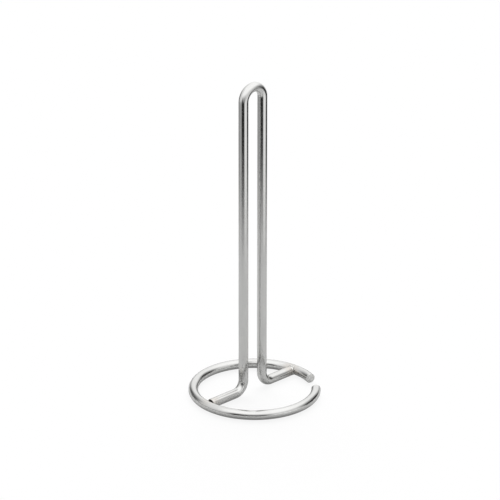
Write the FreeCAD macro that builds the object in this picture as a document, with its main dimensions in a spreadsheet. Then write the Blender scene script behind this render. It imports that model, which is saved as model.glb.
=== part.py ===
import FreeCAD, Part
import math
import os

import Sketcher

# Free-standing paper towel holder, bent from two round steel rods.
#
# base_ring   one rod bent into an open ring that lies flat on the worktop, both ends sawn square
# post_loop   one rod bent into a tall loop: foot, elbow, leg, half-round top bend, leg, elbow, foot
# weld_front  weld between the sawn end of the foot at -X and the inside of the ring
# weld_rear   the same at +X
#
# The feet lie flat on the worktop too, so the ring and the feet share one centreline height.
# Frame: the origin is the centre of the ring on the worktop, +Z up, +X along the rear foot. Millimetres.

DRIVING_DIMENSIONS = [
    ("rod_diameter", "9.5", "both rods"),
    ("ring_outer_diameter", "130", "base ring, outside"),
    ("gap_direction", "-32.7", "middle of the ring's gap, degrees about +Z from +X"),
    ("gap_angle", "24", "angle between the ring's two ends, degrees"),
    ("overall_height", "324", "worktop to the top of the loop"),
    ("leg_spacing", "25.4", "centre to centre of the two legs, and so the top bend's diameter"),
    ("elbow_radius", "11.5", "centreline radius of the bend between a leg and its foot"),
    ("post_shift_x", "2.6", "middle of the legs from the ring's centre, along the feet"),
    ("post_shift_y", "5.4", "plane of the legs and feet from the ring's centre"),
    ("end_chamfer", "0.5", "deburred edge of every sawn end"),
    ("weld_length", "2.2", "weld metal along the foot, either side of its sawn end"),
    ("weld_half_width", "5.7", "weld metal across the foot, from its axis"),
    ("weld_half_height", "4.2", "weld metal above and below the foot's axis"),
]

ROD_RADIUS = "Dimensions.rod_diameter / 2"
RING_RADIUS = "(Dimensions.ring_outer_diameter - Dimensions.rod_diameter) / 2"
# A foot's end touches the ring first at the foot's outer side, which gives its distance from the ring's centre.
FOOT_REACH = (
    f"sqrt(({RING_RADIUS} - Dimensions.post_shift_y - Dimensions.rod_diameter)"
    f" * ({RING_RADIUS} + Dimensions.post_shift_y))"
)
START, END, CENTRE = 1, 2, 3
ORIGIN_POINT = (-1, 1)
VERTICAL_AXIS = -2


def add_dimensions(doc):
    """The spreadsheet that every sub-part's sizes are bound to."""
    sheet = doc.addObject("Spreadsheet::Sheet", "Dimensions")
    for row, (alias, value, meaning) in enumerate(DRIVING_DIMENSIONS, start=1):
        sheet.set(f"A{row}", alias)
        sheet.set(f"B{row}", value)
        sheet.setAlias(f"B{row}", alias)
        sheet.set(f"C{row}", meaning)
    doc.recompute()
    return sheet


def add_sketch(body, name, plane):
    """An empty sketch on one of the body's own origin planes."""
    sketch = body.newObject("Sketcher::SketchObject", name)
    support = next(item for item in body.Origin.OriginFeatures if item.Role == plane)
    sketch.AttachmentSupport = [(support, "")]
    sketch.MapMode = "FlatFace"
    return sketch


def bind(sketch, kind, *where, to):
    """Adds a dimension to the sketch and binds it to an expression."""
    index = sketch.addConstraint(Sketcher.Constraint(kind, *where, float(sketch.evalExpression(to))))
    sketch.setExpression(f"Constraints[{index}]", to)


def add_rod_section(sketch, middle_x, middle_z):
    """The rod's round section, with its middle at two bound distances from the sketch's origin."""
    circle = sketch.addGeometry(Part.Circle(FreeCAD.Vector(1, 1, 0), FreeCAD.Vector(0, 0, 1), 1))
    if middle_x is None:
        sketch.addConstraint(Sketcher.Constraint("PointOnObject", circle, CENTRE, VERTICAL_AXIS))
    else:
        bind(sketch, "DistanceX", *ORIGIN_POINT, circle, CENTRE, to=middle_x)
    bind(sketch, "DistanceY", *ORIGIN_POINT, circle, CENTRE, to=middle_z)
    bind(sketch, "Radius", circle, to=ROD_RADIUS)


def chamfer_ends(body, rod, rod_radius):
    """Deburrs the edges of the two sawn ends: the full circles round the rod's two flat faces."""
    flat_ends = [face for face in rod.Shape.Faces if isinstance(face.Surface, Part.Plane)]
    end_edges = [face.Edges[0] for face in flat_ends if abs(face.Edges[0].Curve.Radius - rod_radius) < 1e-6]
    names = [
        f"Edge{number}"
        for number, edge in enumerate(rod.Shape.Edges, start=1)
        if any(edge.isSame(end_edge) for end_edge in end_edges)
    ]
    chamfer = body.newObject("PartDesign::Chamfer", body.Name + "_deburr")
    chamfer.Base = (rod, names)
    chamfer.setExpression("Size", "Dimensions.end_chamfer")
    body.Tip = chamfer


def add_base_ring(doc, sheet):
    """The open ring: the rod's section turned about the ring's axis, short of a full turn by the gap."""
    body = doc.addObject("PartDesign::Body", "base_ring")
    section = add_sketch(body, "ring_section", "XZ_Plane")
    add_rod_section(section, RING_RADIUS, ROD_RADIUS)
    ring = body.newObject("PartDesign::Revolution", "ring_rod")
    ring.Profile = section
    ring.ReferenceAxis = (section, ["V_Axis"])
    ring.setExpression("Angle", "360 - Dimensions.gap_angle")
    doc.recompute()
    chamfer_ends(body, ring, sheet.rod_diameter / 2)
    body.Placement.Rotation.Axis = FreeCAD.Vector(0, 0, 1)
    body.setExpression("Placement.Rotation.Angle", "Dimensions.gap_direction + Dimensions.gap_angle / 2")
    return body


def add_post_path(body, sheet):
    """The rod's centreline, in the plane of the legs, drawn roughly and then sized by its constraints."""
    path = add_sketch(body, "post_path", "XZ_Plane")
    foot_z = sheet.rod_diameter / 2
    half = sheet.leg_spacing / 2
    bend = sheet.elbow_radius
    middle = sheet.post_shift_x
    crown_z = sheet.overall_height - foot_z - half
    reach = sheet.ring_outer_diameter / 2 - sheet.rod_diameter

    def line(x1, z1, x2, z2):
        return path.addGeometry(Part.LineSegment(FreeCAD.Vector(x1, z1, 0), FreeCAD.Vector(x2, z2, 0)))

    def arc(x, z, radius, first, last):
        circle = Part.Circle(FreeCAD.Vector(x, z, 0), FreeCAD.Vector(0, 0, 1), radius)
        return path.addGeometry(Part.ArcOfCircle(circle, first, last))

    left, right = middle - half, middle + half
    quarter = math.pi / 2
    front_foot = line(-reach, foot_z, left - bend, foot_z)
    front_elbow = arc(left - bend, foot_z + bend, bend, -quarter, 0)
    front_leg = line(left, foot_z + bend, left, crown_z)
    top_bend = arc(middle, crown_z, half, 0, 2 * quarter)
    rear_leg = line(right, crown_z, right, foot_z + bend)
    rear_elbow = arc(right + bend, foot_z + bend, bend, 2 * quarter, 3 * quarter)
    rear_foot = line(right + bend, foot_z, reach, foot_z)

    joints = [
        (front_foot, END, front_elbow, START),
        (front_elbow, END, front_leg, START),
        (front_leg, END, top_bend, END),
        (top_bend, START, rear_leg, START),
        (rear_leg, END, rear_elbow, START),
        (rear_elbow, END, rear_foot, START),
    ]
    for joint in joints:
        path.addConstraint(Sketcher.Constraint("Tangent", *joint))
    for foot in (front_foot, rear_foot):
        path.addConstraint(Sketcher.Constraint("Horizontal", foot))
    for leg in (front_leg, rear_leg):
        path.addConstraint(Sketcher.Constraint("Vertical", leg))
    path.addConstraint(Sketcher.Constraint("Equal", front_elbow, rear_elbow))

    bind(path, "DistanceX", front_foot, START, *ORIGIN_POINT, to=FOOT_REACH)
    bind(path, "DistanceX", *ORIGIN_POINT, rear_foot, END, to=FOOT_REACH)
    bind(path, "DistanceY", *ORIGIN_POINT, front_foot, START, to=ROD_RADIUS)
    bind(path, "DistanceX", *ORIGIN_POINT, top_bend, CENTRE, to="Dimensions.post_shift_x")
    bind(path, "Radius", top_bend, to="Dimensions.leg_spacing / 2")
    bind(path, "Radius", front_elbow, to="Dimensions.elbow_radius")
    crown_height = f"Dimensions.overall_height - {ROD_RADIUS} - Dimensions.leg_spacing / 2"
    bind(path, "DistanceY", *ORIGIN_POINT, top_bend, CENTRE, to=crown_height)
    bind(path, "DistanceY", *ORIGIN_POINT, rear_foot, END, to=ROD_RADIUS)
    return path


def add_post_loop(doc, sheet):
    """The post: the rod's section swept along its centreline from the front foot's end to the rear one's."""
    body = doc.addObject("PartDesign::Body", "post_loop")
    path = add_post_path(body, sheet)
    section = add_sketch(body, "post_section", "YZ_Plane")
    section.setExpression("AttachmentOffset.Base.z", f"-{FOOT_REACH}")
    add_rod_section(section, None, ROD_RADIUS)
    doc.recompute()
    rod = body.newObject("PartDesign::AdditivePipe", "post_rod")
    rod.Profile = section
    rod.Spine = (path, [])
    doc.recompute()
    chamfer_ends(body, rod, sheet.rod_diameter / 2)
    body.setExpression("Placement.Base.y", "Dimensions.post_shift_y")
    return body


def add_weld(doc, name, side, base_ring, post_loop):
    """Weld metal in the corner between a foot's sawn end and the ring, level with neither rod's top nor underside."""
    blob = doc.addObject("Part::Ellipsoid", name + "_metal")
    blob.setExpression("Radius1", "Dimensions.weld_half_height")
    blob.setExpression("Radius2", "Dimensions.weld_length")
    blob.setExpression("Radius3", "Dimensions.weld_half_width")
    blob.setExpression("Placement.Base.x", f"{side} * {FOOT_REACH}")
    blob.setExpression("Placement.Base.y", "Dimensions.post_shift_y")
    blob.setExpression("Placement.Base.z", ROD_RADIUS)
    beside_ring = doc.addObject("Part::Cut", name + "_beside_ring")
    beside_ring.Base = blob
    beside_ring.Tool = base_ring
    weld = doc.addObject("Part::Cut", name)
    weld.Base = beside_ring
    weld.Tool = post_loop
    return weld


def check(doc, parts):
    """Stops the build if any object failed to recompute or a sub-part has no valid solid."""
    for item in doc.Objects:
        if "Invalid" in item.State or "Error" in item.State:
            raise RuntimeError(f"{item.Label} failed: {item.State}")
    for part in parts:
        shape = part.Shape
        if shape.isNull() or not shape.isValid() or len(shape.Solids) != 1:
            raise RuntimeError(f"{part.Label} is not one valid solid")
    for sketch in doc.findObjects("Sketcher::SketchObject"):
        if not sketch.FullyConstrained:
            raise RuntimeError(f"sketch {sketch.Label} is not fully constrained")


def main():
    doc = FreeCAD.newDocument("paper_towel_holder")
    sheet = add_dimensions(doc)
    base_ring = add_base_ring(doc, sheet)
    post_loop = add_post_loop(doc, sheet)
    doc.recompute()
    weld_front = add_weld(doc, "weld_front", -1, base_ring, post_loop)
    weld_rear = add_weld(doc, "weld_rear", 1, base_ring, post_loop)
    doc.recompute()

    parts = [base_ring, post_loop, weld_front, weld_rear]
    check(doc, parts)
    os.makedirs("parts", exist_ok=True)
    for part in parts:
        part.Shape.exportStep(f"parts/{part.Label}.step")
        bounds = part.Shape.optimalBoundingBox()
        print(
            f"{part.Label}: volume {part.Shape.Volume:.1f} mm3,"
            f" x {bounds.XMin:.2f} to {bounds.XMax:.2f},"
            f" y {bounds.YMin:.2f} to {bounds.YMax:.2f},"
            f" z {bounds.ZMin:.2f} to {bounds.ZMax:.2f}"
        )


main()
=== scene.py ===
import math

import bpy
import numpy as np
from mathutils import Matrix, Vector
from mathutils.noise import noise as noise_at


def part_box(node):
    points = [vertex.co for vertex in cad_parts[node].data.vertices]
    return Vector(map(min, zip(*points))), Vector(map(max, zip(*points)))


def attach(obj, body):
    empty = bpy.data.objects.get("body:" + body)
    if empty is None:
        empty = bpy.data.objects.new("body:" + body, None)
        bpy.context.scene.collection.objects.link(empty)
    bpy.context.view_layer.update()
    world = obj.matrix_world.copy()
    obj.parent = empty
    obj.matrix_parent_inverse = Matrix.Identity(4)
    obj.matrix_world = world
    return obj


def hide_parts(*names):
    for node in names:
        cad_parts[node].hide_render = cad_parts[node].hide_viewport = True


# Paper towel holder of two bent steel rods: the open base ring, the tall loop of the post, and the two
# welds between them. Metres, in the row's frame: +Z up, origin at the middle of the ring on the worktop.

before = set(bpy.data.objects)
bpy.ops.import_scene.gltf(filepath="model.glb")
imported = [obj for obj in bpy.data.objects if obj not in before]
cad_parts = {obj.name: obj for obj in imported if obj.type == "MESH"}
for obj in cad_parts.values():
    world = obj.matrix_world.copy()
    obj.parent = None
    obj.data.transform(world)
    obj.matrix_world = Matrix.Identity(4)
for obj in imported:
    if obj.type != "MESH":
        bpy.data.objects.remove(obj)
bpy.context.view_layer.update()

# Camera, as in the product photograph: a long lens from the front foot's side.
VIEW_AZIMUTH = math.radians(-44.71)
VIEW_ELEVATION = math.radians(25.08)
VIEW_DISTANCE = 3.993
AIM_HEIGHT = 0.15287
AIM_SIDEWAYS = -0.00464
VIEW_ROLL = 0.00083
LENS_MM = 292.53
SENSOR_MM = 36.0

# Studio: a round light tent about the holder, lit by tall soft panels and from above. Angles are degrees
# from the camera's side of the holder towards the picture's right. A RISE is a pair of heights on the tent,
# where a change starts and ends, and a BRIGHTNESS is the pair of values below and above it.
PANELS = {  # middle, half width, softness of the edge, brightness low down, brightness higher up
    "right": (55, 29, 30, 1.2, 0.82),
    "behind": (172, 31, 30, 0.6, 1.2),
    "left": (-76, 32, 22, 0.5, 0.85),
    "camera": (0, 16, 20, 0.0, 0.3),
    "corner": (-132, 18, 30, 0.3, 0.0),
}
TENT_RADIUS = 0.8
TENT_BOTTOM = -0.7
TENT_TOP = 1.5
PANEL_RISE = (0.05, 0.25)
GAP_RISE = (0.1, 0.3)
GAP_BRIGHTNESS = (0.015, 0.08)
TOP_RISE = (0.2, 0.85)
TOP_BRIGHTNESS = (1.35, 1.57)
TOP_BRIGHTEST = (0.5, 1.15)  # heights on the tent where TOP_BRIGHTNESS starts and ends
DIM_CORNER = (-122, 42, 50)  # middle, half width and softness of a darker part of the top
DIM_SHARE = 0.22
TENT_SIDES = 96
EVEN_LIGHT = 0.12
KEY_LIGHT = 6.4
KEY_HEIGHT = 45
KEY_EDGE = (45, 10)
FLOOR_GLOW = 0.88
FLOOR_SHADE = 0.083
WORKTOP_GLOW = 0.2
WORKTOP_SHADE = 0.4
WORKTOP_FADE = (0.27, 0.68)
WORKTOP_SIZE = 3.0
WORKTOP_Z = -0.0001
FLOOR_SIZE = 14.0
FLOOR_Z = -0.0002

# Rods
ELBOW_RADIUS = 0.0115
ROD_RADIUS = 0.00475
END_ROUNDING = 0.0005
AROUND = 72
ARC_STEP = 0.0010
LINE_STEP = 0.0040
EDGE_STEPS = 5
FACE_SHARES = (0.3, 0.6, 0.85, 0.97)  # circles of points on a sawn face, as shares of its flat part
STEEL_DARKER = (0.565, 0.565, 0.557)
STEEL_LIGHTER = (0.615, 0.615, 0.605)
STEEL_LINE = (0.54, 0.54, 0.532)
ROD_ROUGHNESS = 0.13
LINE_DEPTH = 0.000003
LINE_SCALE = (5200, 26)  # scales of the rod's patterns across it and along it, per metre
BROAD_SCALE = (900, 9)
CLOUD_SCALE = (150, 60)
BROAD_HEIGHT = 0.8
LINE_SHARES = (0.0, 0.5)
LINE_ROUGHNESS = (ROD_ROUGHNESS - 0.03, ROD_ROUGHNESS + 0.04)
CLOUD_ROUGHNESS = (-0.02, 0.04)
HEAT_TINT = (0.47, 0.40, 0.33)
HEAT_REACH = 0.013
HEAT_STRENGTH = 0.4
HEAT_ROUGHNESS = 0.14
HEAT_PATCHES = (0.35, 1.0)
SAWN_DARKER = (0.50, 0.50, 0.49)
SAWN_LIGHTER = (0.68, 0.68, 0.67)
SAW_LINES = (400, 400, 4200)
SAW_ANGLE = 25
SAWN_ROUGHNESS = (0.36, 0.55)
SAWN_DEPTH = 0.00006

# Welds
WELD_OVERLAP = 0.0006
WELD_REACH = 0.0042
WELD_SWELL = 0.00012
WELD_LUMPS = 0.0004
WELD_CLEARANCE = 0.00015
WELD_AROUND = 96
WELD_ALONG = 22
LUMP_SCALE = 900
RIPPLE_SCALE = 2300
FOOT_SHARE = 0.12
FOOT_MARGIN = 0.0001
RING_SHARE = 0.9
RING_NARROWING = 0.35
RING_TOUCH = 0.98
WELD_DARKER = (0.26, 0.25, 0.24)
WELD_LIGHTER = (0.76, 0.76, 0.74)
WELD_ROUGHNESS = (0.22, 0.42)
WELD_DEPTH = 0.0002
# Painted shade: a near-black colour on the front weld's open crevice, standing in for the shade in the gap,
# and on the post's sawn ends inside the welds.
PAINTED_SHADE_DARKER = (0.02, 0.02, 0.02)
PAINTED_SHADE_LIGHTER = (0.09, 0.08, 0.07)
PAINTED_SHADE_FROM = 0.35
PAINTED_SHADE_METALLIC = 0.6
PAINTED_SHADE_ROUGHNESS = (0.5, 0.8)
PAINTED_SHADE_DEPTH = 0.0001
CREVICE_DEPTH = 0.5
CREVICE_EDGE = 22
FRONT_CREVICE = (3, 64)
NO_CREVICE = (0, 0)
FRONT_FLARE = 0.0009
REAR_FLARE = 0.0001


def toward_camera():
    """Level direction from the holder to the camera."""
    return Vector((math.sin(VIEW_AZIMUTH), -math.cos(VIEW_AZIMUTH), 0))


def camera_right():
    """Level direction that is to the right in the camera's picture."""
    return Vector((math.cos(VIEW_AZIMUTH), math.sin(VIEW_AZIMUTH), 0))


def add_camera():
    data = bpy.data.cameras.new("camera")
    data.lens = LENS_MM
    data.sensor_width = SENSOR_MM
    data.clip_start = 0.1
    data.clip_end = 50
    camera = bpy.data.objects.new("camera", data)
    bpy.context.scene.collection.objects.link(camera)
    place = toward_camera() * math.cos(VIEW_ELEVATION) + Vector((0, 0, math.sin(VIEW_ELEVATION)))
    place *= VIEW_DISTANCE
    aim = Vector((0, 0, AIM_HEIGHT)) + camera_right() * AIM_SIDEWAYS
    turn = (aim - place).to_track_quat("-Z", "Y").to_matrix() @ Matrix.Rotation(VIEW_ROLL, 3, "Z")
    camera.matrix_world = Matrix.Translation(place) @ turn.to_4x4()
    bpy.context.scene.camera = camera


# --------------------------------------------------------------------------------------------------
# Sizes, measured on the CAD nodes


def corners(node):
    return np.array([vertex.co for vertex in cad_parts[node].data.vertices])


def measure_ring():
    """Rod radius, ring radius and the angles of the ring's two ends."""
    low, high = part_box("base_ring")
    rod = (high.z - low.z) / 2
    radius = (high.x - low.x) / 2 - rod
    points = corners("base_ring")
    angles = np.sort(np.unique(np.round(np.arctan2(points[:, 1], points[:, 0]), 6)))
    steps = np.diff(np.append(angles, angles[0] + 2 * math.pi))
    before_gap = int(np.argmax(steps))
    start = angles[(before_gap + 1) % len(angles)]
    length = 2 * math.pi - steps[before_gap]
    return {
        "rod": rod,
        "middle_z": low.z + rod,
        "radius": radius,
        "start": float(start),
        "turn": float(length),
    }


def measure_post():
    """The loop's centreline: foot ends, legs, bends and the plane that they lie in."""
    low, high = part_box("post_loop")
    rod = (high.y - low.y) / 2
    points = corners("post_loop")
    upper = points[points[:, 2] > high.z / 2]
    left = float(upper[:, 0].min()) + rod
    right = float(upper[:, 0].max()) - rod
    return {
        "rod": rod,
        "plane_y": (low.y + high.y) / 2,
        "foot_z": low.z + rod,
        "front_end": low.x,
        "rear_end": high.x,
        "left": left,
        "right": right,
        "top_z": high.z - rod - (right - left) / 2,
        "elbow": ELBOW_RADIUS,
    }


# --------------------------------------------------------------------------------------------------
# Rods


def line_stations(start, end):
    """Evenly spaced points and directions from start to end, both included."""
    start, end = Vector(start), Vector(end)
    count = max(2, math.ceil((end - start).length / LINE_STEP) + 1)
    direction = (end - start).normalized()
    return [(start.lerp(end, i / (count - 1)), direction) for i in range(count)]


def arc_stations(centre, radius, axis_a, axis_b, first, last):
    """Points and directions along an arc. Angle 0 is along axis_a and a quarter turn is along axis_b."""
    centre, axis_a, axis_b = Vector(centre), Vector(axis_a), Vector(axis_b)
    count = max(3, math.ceil(abs(last - first) * radius / ARC_STEP) + 1)
    way = 1 if last > first else -1
    stations = []
    for i in range(count):
        angle = first + (last - first) * i / (count - 1)
        point = centre + radius * (math.cos(angle) * axis_a + math.sin(angle) * axis_b)
        direction = way * (-math.sin(angle) * axis_a + math.cos(angle) * axis_b)
        stations.append((point, direction))
    return stations


def join_stations(*runs):
    """One list of stations, with each joint's point kept once."""
    stations = list(runs[0])
    for run in runs[1:]:
        stations += run[1:]
    return stations


def end_profile(radius):
    """Radii of the circles on a sawn face, and (distance from the end, radius) pairs over its edge."""
    flat = radius - END_ROUNDING
    face = [flat * share for share in FACE_SHARES]
    edge = []
    for i in range(EDGE_STEPS + 1):
        angle = math.pi / 2 * i / EDGE_STEPS
        edge.append((END_ROUNDING * (1 - math.cos(angle)), flat + END_ROUNDING * math.sin(angle)))
    return face, edge


def build_rod(name, stations, radius, plane_normal, materials):
    """A rod along the stations, with sawn ends whose edges are rounded. Its UV map is in metres: round the
    rod and along it."""
    plane_normal = Vector(plane_normal)
    face_radii, edge_profile = end_profile(radius)
    distances = [0.0]
    for (a, _), (b, _) in zip(stations, stations[1:]):
        distances.append(distances[-1] + (b - a).length)
    total = distances[-1]

    rings = []  # (middle, direction, ring radius, distance along the rod, on the sawn face)
    first_point, first_way = stations[0]
    last_point, last_way = stations[-1]
    for ring_radius in face_radii:
        rings.append((first_point, first_way, ring_radius, 0.0, True))
    for depth, ring_radius in edge_profile:
        rings.append((first_point + first_way * depth, first_way, ring_radius, depth, False))
    for (point, way), distance in zip(stations[1:-1], distances[1:-1]):
        rings.append((point, way, radius, distance, False))
    for depth, ring_radius in reversed(edge_profile):
        rings.append((last_point - last_way * depth, last_way, ring_radius, total - depth, False))
    for ring_radius in reversed(face_radii):
        rings.append((last_point, last_way, ring_radius, total, True))

    vertices = []
    for middle, way, ring_radius, _, _ in rings:
        across = way.cross(plane_normal)
        for k in range(AROUND):
            angle = 2 * math.pi * k / AROUND
            outwards = math.cos(angle) * plane_normal + math.sin(angle) * across
            vertices.append(middle + ring_radius * outwards)
    first_middle = len(vertices)
    vertices.append(first_point)
    last_middle = len(vertices)
    vertices.append(last_point)

    faces, uvs, sawn = [], [], []
    for i in range(len(rings) - 1):
        on_face = rings[i][4] or rings[i + 1][4]
        for k in range(AROUND):
            after = (k + 1) % AROUND
            near, far = i * AROUND, (i + 1) * AROUND
            faces.append((near + k, near + after, far + after, far + k))
            u0, u1 = (2 * math.pi * radius * j / AROUND for j in (k, k + 1))
            v0, v1 = rings[i][3], rings[i + 1][3]
            uvs += [(u0, v0), (u1, v0), (u1, v1), (u0, v1)]
            sawn.append(on_face)
    last_ring = (len(rings) - 1) * AROUND
    for k in range(AROUND):
        after = (k + 1) % AROUND
        faces.append((first_middle, after, k))
        uvs += [(0, 0)] * 3
        faces.append((last_middle, last_ring + k, last_ring + after))
        uvs += [(0, total)] * 3
        sawn += [True, True]

    mesh = bpy.data.meshes.new(name)
    mesh.from_pydata([tuple(v) for v in vertices], [], faces)
    layer = mesh.uv_layers.new(name="rod")
    layer.data.foreach_set("uv", np.array(uvs, np.float32).ravel())
    mesh.polygons.foreach_set("use_smooth", [True] * len(faces))
    mesh.polygons.foreach_set("material_index", [1 if flag else 0 for flag in sawn])
    for material in materials:
        mesh.materials.append(material)
    mesh.validate()
    mesh.update()
    rod = bpy.data.objects.new(name, mesh)
    bpy.context.scene.collection.objects.link(rod)
    return rod


def ring_stations(ring):
    middle = (0, 0, ring["middle_z"])
    first = ring["start"]
    return arc_stations(middle, ring["radius"], (1, 0, 0), (0, 1, 0), first, first + ring["turn"])


def post_stations(post):
    y, z, elbow = post["plane_y"], post["foot_z"], post["elbow"]
    left, right, top = post["left"], post["right"], post["top_z"]
    x_axis, z_axis = (1, 0, 0), (0, 0, 1)
    quarter = math.pi / 2
    bend_z = z + elbow
    return join_stations(
        line_stations((post["front_end"], y, z), (left - elbow, y, z)),
        arc_stations((left - elbow, y, bend_z), elbow, x_axis, z_axis, -quarter, 0),
        line_stations((left, y, bend_z), (left, y, top)),
        arc_stations(((left + right) / 2, y, top), (right - left) / 2, x_axis, z_axis, 2 * quarter, 0),
        line_stations((right, y, top), (right, y, bend_z)),
        arc_stations((right + elbow, y, bend_z), elbow, x_axis, z_axis, 2 * quarter, 3 * quarter),
        line_stations((right + elbow, y, z), (post["rear_end"], y, z)),
    )


def weld_surface(post, ring, side, angle, share, open_share, flare):
    """A point of a weld's skin. angle goes round the foot's axis from its top towards the camera's side.
    share goes from inside the foot, along it, to inside the ring. side is -1 at the front foot and 1 at the
    rear foot. open_share is 1 in the crevice and 0 away from it. flare is how far the metal spreads."""
    radius = post["rod"]
    end = abs(post["front_end"] if side < 0 else post["rear_end"])
    depth = 1 - open_share * CREVICE_DEPTH
    y = post["plane_y"] - radius * math.sin(angle)
    ring_reach = ring["radius"] - radius * abs(math.sin(angle)) * RING_TOUCH
    joined = math.sqrt(max(ring_reach ** 2 - y ** 2, 0))
    start = end - WELD_OVERLAP
    stop = min(joined, end + WELD_REACH) + WELD_OVERLAP
    x = start + (stop - start) * share
    swell = math.sin(math.pi * share) * WELD_SWELL + flare * (1 - open_share) * share * share
    place = Vector((x * side, y, math.cos(angle) * radius))
    lumps = noise_at(place * LUMP_SCALE)
    ripple = noise_at(place * RIPPLE_SCALE)
    roughness = WELD_LUMPS * lumps + WELD_LUMPS / 3 * ripple
    size = radius * depth + swell + roughness * min(1, 4 * share * (1 - share) + 0.2)
    if share < FOOT_SHARE:
        size = min(size, radius - FOOT_MARGIN)
    if share > RING_SHARE:
        size *= 1 - RING_NARROWING * (share - RING_SHARE) / (1 - RING_SHARE)
    lowest = post["foot_z"] - radius + WELD_CLEARANCE
    height = max(post["foot_z"] + size * math.cos(angle), lowest)
    return Vector((side * x, post["plane_y"] - size * math.sin(angle), height))


def build_weld(name, post, ring, side, crevice, flare, materials):
    """A lumpy sleeve of weld metal from the foot's sawn end into the ring's side. crevice is the middle and
    the half width, in degrees round the foot, of the part that was left open."""
    vertices, faces, in_painted_shade = [], [], []
    middle, half_width = crevice
    for j in range(WELD_ALONG):
        share = j / (WELD_ALONG - 1)
        for k in range(WELD_AROUND):
            degrees = 360 * k / WELD_AROUND
            away = abs((degrees - middle + 180) % 360 - 180)
            opened = min(1, max(0, (half_width - away) / CREVICE_EDGE))
            opened = opened * opened * (3 - 2 * opened)
            angle = math.radians(degrees)
            vertices.append(weld_surface(post, ring, side, angle, share, opened, flare))
            in_painted_shade.append(opened > PAINTED_SHADE_FROM)
    for j in range(WELD_ALONG - 1):
        near, far = j * WELD_AROUND, (j + 1) * WELD_AROUND
        for k in range(WELD_AROUND):
            after = (k + 1) % WELD_AROUND
            face = (near + k, near + after, far + after, far + k)
            faces.append(face if side > 0 else face[::-1])
    for j, flip in ((0, side > 0), (WELD_ALONG - 1, side < 0)):
        ends = [j * WELD_AROUND + k for k in range(WELD_AROUND)]
        faces.append(ends[::-1] if flip else ends)
    mesh = bpy.data.meshes.new(name)
    mesh.from_pydata([tuple(v) for v in vertices], [], faces)
    mesh.polygons.foreach_set("use_smooth", [True] * len(faces))
    # Faces wholly in the open crevice take slot 1, the painted shade.
    slots = [1 if all(in_painted_shade[i] for i in face) else 0 for face in faces]
    mesh.polygons.foreach_set("material_index", slots)
    for material in materials:
        mesh.materials.append(material)
    mesh.update()
    weld = bpy.data.objects.new(name, mesh)
    bpy.context.scene.collection.objects.link(weld)
    return weld


# --------------------------------------------------------------------------------------------------
# Materials


def new_material(name):
    material = bpy.data.materials.new(name)
    material.use_nodes = True
    nodes = material.node_tree.nodes
    nodes.clear()
    shader = nodes.new("ShaderNodeBsdfPrincipled")
    output = nodes.new("ShaderNodeOutputMaterial")
    material.node_tree.links.new(shader.outputs["BSDF"], output.inputs["Surface"])
    return material, nodes, material.node_tree.links, shader


def rod_vector(nodes, links, across, along):
    """Position on the rod without a seam, from its UV map: across the rod and along it, each scaled."""
    place = nodes.new("ShaderNodeUVMap")
    place.uv_map = "rod"
    split = nodes.new("ShaderNodeSeparateXYZ")
    links.new(place.outputs["UV"], split.inputs[0])
    angle = socket_math(nodes, links, "DIVIDE", split.outputs["X"], ROD_RADIUS)
    joined = nodes.new("ShaderNodeCombineXYZ")
    for axis, function in (("X", "COSINE"), ("Y", "SINE")):
        part = socket_math(nodes, links, function, angle, 0.0)
        links.new(socket_math(nodes, links, "MULTIPLY", part, ROD_RADIUS * across), joined.inputs[axis])
    links.new(socket_math(nodes, links, "MULTIPLY", split.outputs["Y"], along), joined.inputs["Z"])
    return joined.outputs[0]


def noise(nodes, links, vector, scale=1.0, detail=2.0, roughness=0.5):
    node = nodes.new("ShaderNodeTexNoise")
    links.new(vector, node.inputs["Vector"])
    node.inputs["Scale"].default_value = scale
    node.inputs["Detail"].default_value = detail
    node.inputs["Roughness"].default_value = roughness
    return node.outputs["Fac"]


def linear_range(nodes, links, value, low, high, start=0.3, end=0.7):
    """value from start to end, run from low to high."""
    node = nodes.new("ShaderNodeMapRange")
    node.inputs["From Min"].default_value = start
    node.inputs["From Max"].default_value = end
    node.inputs["To Min"].default_value = low
    node.inputs["To Max"].default_value = high
    links.new(value, node.inputs["Value"])
    return node.outputs["Result"]


def mix_colour(nodes, links, share, first, second):
    """A colour between two, each a colour or a socket."""
    node = nodes.new("ShaderNodeMix")
    node.data_type = "RGBA"
    links.new(share, node.inputs["Factor"])
    for slot, value in (("A", first), ("B", second)):
        socket = next(i for i in node.inputs if i.name == slot and i.type == "RGBA")
        if isinstance(value, tuple):
            socket.default_value = (*value, 1)
        else:
            links.new(value, socket)
    return next(o for o in node.outputs if o.type == "RGBA")


def add_bump(nodes, links, shader, height, depth):
    bump = nodes.new("ShaderNodeBump")
    bump.inputs["Strength"].default_value = 1.0
    bump.inputs["Distance"].default_value = depth
    links.new(height, bump.inputs["Height"])
    links.new(bump.outputs["Normal"], shader.inputs["Normal"])


def heat_share(nodes, links, joints, reach):
    """1 at a welded joint, easing to 0 at a distance of reach."""
    place = nodes.new("ShaderNodeNewGeometry")
    share = 0.0
    for joint in joints:
        gap = nodes.new("ShaderNodeVectorMath")
        gap.operation = "DISTANCE"
        links.new(place.outputs["Position"], gap.inputs[0])
        gap.inputs[1].default_value = joint
        near = smooth_range(nodes, links, gap.outputs["Value"], ROD_RADIUS, reach, 1, 0)
        share = socket_math(nodes, links, "MAXIMUM", near, share)
    return share


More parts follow.
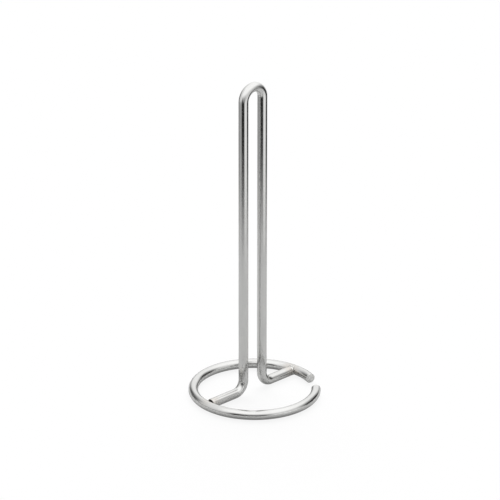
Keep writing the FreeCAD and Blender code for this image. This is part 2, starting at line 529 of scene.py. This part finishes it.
def rod_material(joints):
    """Bright drawn steel: fine lines along the rod, cloudy polish, and a faint tint beside the welds."""
    material, nodes, links, shader = new_material("rod_steel")
    shader.inputs["Metallic"].default_value = 1.0
    lines = noise(nodes, links, rod_vector(nodes, links, *LINE_SCALE), detail=3, roughness=0.6)
    broad = noise(nodes, links, rod_vector(nodes, links, *BROAD_SCALE), detail=2)
    clouds = noise(nodes, links, rod_vector(nodes, links, *CLOUD_SCALE), detail=4, roughness=0.6)
    heat = heat_share(nodes, links, joints, HEAT_REACH)
    patchy = linear_range(nodes, links, clouds, *HEAT_PATCHES)
    tint = socket_math(nodes, links, "MULTIPLY", heat, patchy)
    shade = linear_range(nodes, links, clouds, 0.0, 1.0)
    plain = mix_colour(nodes, links, shade, STEEL_DARKER, STEEL_LIGHTER)
    line_share = linear_range(nodes, links, lines, *LINE_SHARES)
    scratched = mix_colour(nodes, links, line_share, plain, STEEL_LINE)
    tint_share = socket_math(nodes, links, "MULTIPLY", tint, HEAT_STRENGTH)
    tinted = mix_colour(nodes, links, tint_share, scratched, HEAT_TINT)
    links.new(tinted, shader.inputs["Base Color"])
    satin = linear_range(nodes, links, lines, *LINE_ROUGHNESS)
    cloudy = linear_range(nodes, links, clouds, *CLOUD_ROUGHNESS)
    worn = socket_math(nodes, links, "ADD", satin, cloudy)
    scaled = socket_math(nodes, links, "MULTIPLY", tint, HEAT_ROUGHNESS)
    links.new(socket_math(nodes, links, "ADD", scaled, worn), shader.inputs["Roughness"])
    swells = socket_math(nodes, links, "MULTIPLY", broad, BROAD_HEIGHT)
    height = socket_math(nodes, links, "ADD", lines, swells)
    add_bump(nodes, links, shader, height, LINE_DEPTH)
    return material


def sawn_material():
    """The flat end of a sawn rod: parallel saw lines, duller than the rod, with lighter spots."""
    material, nodes, links, shader = new_material("sawn_end")
    shader.inputs["Metallic"].default_value = 1.0
    place = nodes.new("ShaderNodeNewGeometry")
    stretch = nodes.new("ShaderNodeMapping")
    stretch.inputs["Rotation"].default_value = (0.0, math.radians(SAW_ANGLE), 0.0)
    stretch.inputs["Scale"].default_value = SAW_LINES
    links.new(place.outputs["Position"], stretch.inputs["Vector"])
    lines = noise(nodes, links, stretch.outputs[0], detail=3)
    spots = noise(nodes, links, place.outputs["Position"], scale=700, detail=3)
    shade = linear_range(nodes, links, spots, 0.0, 1.0, 0.35, 0.65)
    links.new(mix_colour(nodes, links, shade, SAWN_DARKER, SAWN_LIGHTER), shader.inputs["Base Color"])
    links.new(linear_range(nodes, links, lines, *SAWN_ROUGHNESS), shader.inputs["Roughness"])
    add_bump(nodes, links, shader, socket_math(nodes, links, "ADD", lines, spots), SAWN_DEPTH)
    return material


def weld_material():
    """Weld metal: rippled, rougher than the rod, with lighter and darker patches."""
    material, nodes, links, shader = new_material("weld_steel")
    shader.inputs["Metallic"].default_value = 1.0
    place = nodes.new("ShaderNodeNewGeometry")
    ripples = noise(nodes, links, place.outputs["Position"], scale=900, detail=4, roughness=0.6)
    patches = noise(nodes, links, place.outputs["Position"], scale=620, detail=3)
    shade = linear_range(nodes, links, patches, 0.0, 1.0, 0.4, 0.58)
    links.new(mix_colour(nodes, links, shade, WELD_DARKER, WELD_LIGHTER), shader.inputs["Base Color"])
    links.new(linear_range(nodes, links, ripples, *WELD_ROUGHNESS), shader.inputs["Roughness"])
    add_bump(nodes, links, shader, ripples, WELD_DEPTH)
    return material


def painted_shade_material():
    """Painted shade: near-black colour on the front weld's open crevice, where shade falls in the gap, and
    on the post's sawn ends inside the welds.
    """
    material, nodes, links, shader = new_material("painted_shade")
    place = nodes.new("ShaderNodeNewGeometry")
    grain = noise(nodes, links, place.outputs["Position"], scale=1200, detail=4)
    patches = noise(nodes, links, place.outputs["Position"], scale=500, detail=2)
    shader.inputs["Metallic"].default_value = PAINTED_SHADE_METALLIC
    shade = linear_range(nodes, links, patches, 0.0, 1.0, 0.4, 0.75)
    links.new(mix_colour(nodes, links, shade, PAINTED_SHADE_DARKER, PAINTED_SHADE_LIGHTER), shader.inputs["Base Color"])
    links.new(linear_range(nodes, links, grain, *PAINTED_SHADE_ROUGHNESS), shader.inputs["Roughness"])
    add_bump(nodes, links, shader, grain, PAINTED_SHADE_DEPTH)
    return material


# --------------------------------------------------------------------------------------------------
# Studio


def picture_direction(degrees):
    """Level direction at an angle from the camera's side of the holder towards the picture's right."""
    angle = math.radians(degrees)
    return toward_camera() * math.cos(angle) + camera_right() * math.sin(angle)


def socket_math(nodes, links, operation, first, second):
    """A Math node on two sockets or numbers."""
    node = nodes.new("ShaderNodeMath")
    node.operation = operation
    for slot, value in zip(node.inputs, (first, second)):
        if isinstance(value, (int, float)):
            slot.default_value = value
        else:
            links.new(value, slot)
    return node.outputs[0]


def smooth_range(nodes, links, value, start, end, low=0.0, high=1.0):
    """value from start to end, eased to run from low to high."""
    node = nodes.new("ShaderNodeMapRange")
    node.interpolation_type = "SMOOTHSTEP"
    node.inputs["From Min"].default_value = start
    node.inputs["From Max"].default_value = end
    node.inputs["To Min"].default_value = low
    node.inputs["To Max"].default_value = high
    links.new(value, node.inputs["Value"])
    return node.outputs["Result"]


def facing_share(nodes, links, direction, azimuth, half_width, softness):
    """1 where a direction faces within half_width of an azimuth, with a soft edge, and 0 elsewhere."""
    facing = nodes.new("ShaderNodeVectorMath")
    facing.operation = "DOT_PRODUCT"
    links.new(direction, facing.inputs[0])
    facing.inputs[1].default_value = picture_direction(azimuth)
    outer = math.cos(math.radians(half_width + softness / 2))
    inner = math.cos(math.radians(half_width - softness / 2))
    return smooth_range(nodes, links, facing.outputs["Value"], outer, inner)


def tent_material():
    """What the steel mirrors: tall soft panels with dark gaps between them, under a bright top."""
    material, nodes, links, shader = new_material("light_tent")
    shader.inputs["Base Color"].default_value = (0, 0, 0, 1)
    shader.inputs["Specular IOR Level"].default_value = 0.0
    shader.inputs["Emission Color"].default_value = (1, 1, 1, 1)
    place = nodes.new("ShaderNodeNewGeometry")
    split = nodes.new("ShaderNodeSeparateXYZ")
    links.new(place.outputs["Position"], split.inputs[0])
    level = nodes.new("ShaderNodeCombineXYZ")
    links.new(split.outputs["X"], level.inputs["X"])
    links.new(split.outputs["Y"], level.inputs["Y"])
    unit = nodes.new("ShaderNodeVectorMath")
    unit.operation = "NORMALIZE"
    links.new(level.outputs[0], unit.inputs[0])
    total = smooth_range(nodes, links, split.outputs["Z"], *GAP_RISE, *GAP_BRIGHTNESS)
    for azimuth, half_width, softness, low, high in PANELS.values():
        share = facing_share(nodes, links, unit.outputs[0], azimuth, half_width, softness)
        brightness = smooth_range(nodes, links, split.outputs["Z"], *PANEL_RISE, low, high)
        panel = socket_math(nodes, links, "MULTIPLY", share, brightness)
        total = socket_math(nodes, links, "ADD", panel, total)
    blend = nodes.new("ShaderNodeMix")
    links.new(smooth_range(nodes, links, split.outputs["Z"], *TOP_RISE), blend.inputs["Factor"])
    links.new(total, blend.inputs["A"])
    top = linear_range(nodes, links, split.outputs["Z"], *TOP_BRIGHTNESS, *TOP_BRIGHTEST)
    dim = facing_share(nodes, links, unit.outputs[0], *DIM_CORNER)
    lost = socket_math(nodes, links, "MULTIPLY", dim, DIM_SHARE)
    kept = socket_math(nodes, links, "SUBTRACT", 1.0, lost)
    links.new(socket_math(nodes, links, "MULTIPLY", top, kept), blend.inputs["B"])
    links.new(blend.outputs["Result"], shader.inputs["Emission Strength"])
    material.cycles.emission_sampling = "NONE"
    return material


def add_world():
    """White for the camera, a soft light with a brighter part from behind for the floor, and the bright top
    above the tent for reflections."""
    world = bpy.data.worlds.new("studio")
    bpy.context.scene.world = world
    world.use_nodes = True
    nodes, links = world.node_tree.nodes, world.node_tree.links
    nodes.clear()
    output = nodes.new("ShaderNodeOutputWorld")
    path = nodes.new("ShaderNodeLightPath")
    mirrored = nodes.new("ShaderNodeBackground")
    mirrored.inputs["Strength"].default_value = TOP_BRIGHTNESS[1]
    place = nodes.new("ShaderNodeTexCoord")
    even = nodes.new("ShaderNodeBackground")
    facing = nodes.new("ShaderNodeVectorMath")
    facing.operation = "DOT_PRODUCT"
    links.new(place.outputs["Generated"], facing.inputs[0])
    rise = math.radians(KEY_HEIGHT)
    behind = picture_direction(180) * math.cos(rise)
    facing.inputs[1].default_value = behind + Vector((0, 0, math.sin(rise)))
    outer, inner = (math.cos(math.radians(angle)) for angle in KEY_EDGE)
    key = smooth_range(nodes, links, facing.outputs["Value"], outer, inner, EVEN_LIGHT, KEY_LIGHT)
    links.new(key, even.inputs["Strength"])
    for_light = nodes.new("ShaderNodeMixShader")
    links.new(path.outputs["Is Diffuse Ray"], for_light.inputs["Fac"])
    links.new(mirrored.outputs[0], for_light.inputs[1])
    links.new(even.outputs[0], for_light.inputs[2])
    pale = nodes.new("ShaderNodeBackground")
    pale.inputs["Color"].default_value = (1, 1, 1, 1)
    for_camera = nodes.new("ShaderNodeMixShader")
    links.new(path.outputs["Is Camera Ray"], for_camera.inputs["Fac"])
    links.new(for_light.outputs[0], for_camera.inputs[1])
    links.new(pale.outputs[0], for_camera.inputs[2])
    for background in (mirrored, even):
        background.inputs["Color"].default_value = (1, 1, 1, 1)
    links.new(for_camera.outputs[0], output.inputs["Surface"])


def plane(name, size, z, material):
    mesh = bpy.data.meshes.new(name)
    h = size / 2
    mesh.from_pydata([(-h, -h, z), (h, -h, z), (h, h, z), (-h, h, z)], [], [(0, 1, 2, 3)])
    mesh.materials.append(material)
    obj = bpy.data.objects.new(name, mesh)
    bpy.context.scene.collection.objects.link(obj)
    return obj


def floor_material():
    """A pale floor that glows a little, so that it reads white."""
    material, _, _, shader = new_material("pale_floor")
    shader.inputs["Base Color"].default_value = (FLOOR_SHADE, FLOOR_SHADE, FLOOR_SHADE, 1)
    shader.inputs["Roughness"].default_value = 1.0
    shader.inputs["Specular IOR Level"].default_value = 0.0
    shader.inputs["Emission Color"].default_value = (1, 1, 1, 1)
    shader.inputs["Emission Strength"].default_value = FLOOR_GLOW
    return material


def mirrored_worktop_material():
    """The patch of worktop that the steel mirrors. It fades out, and the panels show beyond it."""
    material, nodes, links, shader = new_material("mirrored_worktop")
    shader.inputs["Base Color"].default_value = (WORKTOP_SHADE, WORKTOP_SHADE, WORKTOP_SHADE, 1)
    shader.inputs["Emission Color"].default_value = (1, 1, 1, 1)
    shader.inputs["Emission Strength"].default_value = WORKTOP_GLOW
    shader.inputs["Roughness"].default_value = 1.0
    shader.inputs["Specular IOR Level"].default_value = 0.0
    place = nodes.new("ShaderNodeNewGeometry")
    length = nodes.new("ShaderNodeVectorMath")
    length.operation = "LENGTH"
    links.new(place.outputs["Position"], length.inputs[0])
    beyond = smooth_range(nodes, links, length.outputs["Value"], *WORKTOP_FADE)
    clear = nodes.new("ShaderNodeBsdfTransparent")
    mix = nodes.new("ShaderNodeMixShader")
    links.new(beyond, mix.inputs["Fac"])
    links.new(shader.outputs[0], mix.inputs[1])
    links.new(clear.outputs[0], mix.inputs[2])
    output = next(node for node in nodes if node.type == "OUTPUT_MATERIAL")
    links.new(mix.outputs[0], output.inputs["Surface"])
    return material


def add_tent():
    """An open tube about the holder, seen by nothing but the steel's reflections."""
    mesh = bpy.data.meshes.new("light_tent")
    angles = [2 * math.pi * k / TENT_SIDES for k in range(TENT_SIDES)]
    rim = [(TENT_RADIUS * math.cos(angle), TENT_RADIUS * math.sin(angle)) for angle in angles]
    vertices = [(x, y, z) for z in (TENT_BOTTOM, TENT_TOP) for x, y in rim]
    faces = []
    for k in range(TENT_SIDES):
        after = (k + 1) % TENT_SIDES
        faces.append((k, after, after + TENT_SIDES, k + TENT_SIDES))
    mesh.from_pydata(vertices, [], faces)
    mesh.materials.append(tent_material())
    tent = bpy.data.objects.new("light_tent", mesh)
    bpy.context.scene.collection.objects.link(tent)
    tent.visible_camera = False
    tent.visible_diffuse = False
    tent.visible_shadow = False


def add_studio():
    add_world()
    add_tent()
    floor = plane("floor", FLOOR_SIZE, FLOOR_Z, floor_material())
    floor.visible_glossy = False
    worktop = plane("mirrored_worktop", WORKTOP_SIZE, WORKTOP_Z, mirrored_worktop_material())
    worktop.visible_camera = False
    worktop.visible_diffuse = False
    worktop.visible_shadow = False
    bpy.context.scene.view_settings.view_transform = "Standard"


def main():
    add_camera()
    add_studio()
    ring = measure_ring()
    post = measure_post()
    joints = [(post[end], post["plane_y"], post["foot_z"]) for end in ("front_end", "rear_end")]
    # scale is the painted shade material: near-black colour for the front weld's crevice and the post's
    # sawn ends inside the welds.
    rod, sawn, weld, scale = rod_material(joints), sawn_material(), weld_material(), painted_shade_material()
    base_ring = build_rod("base_ring_rod", ring_stations(ring), ring["rod"], (0, 0, 1), [rod, sawn])
    post_loop = build_rod("post_loop_rod", post_stations(post), post["rod"], (0, 1, 0), [rod, scale])
    weld_front = build_weld("weld_front_metal", post, ring, -1, FRONT_CREVICE, FRONT_FLARE, [weld, scale])
    weld_rear = build_weld("weld_rear_metal", post, ring, 1, NO_CREVICE, REAR_FLARE, [weld, scale])
    pieces = (
        (base_ring, "base_ring", "rod_steel"),
        (post_loop, "post_loop", "rod_steel"),
        (weld_front, "weld_front", "weld_steel"),
        (weld_rear, "weld_rear", "weld_steel"),
    )
    for piece, node, slot in pieces:
        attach(piece, "root")
        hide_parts(node)


main()
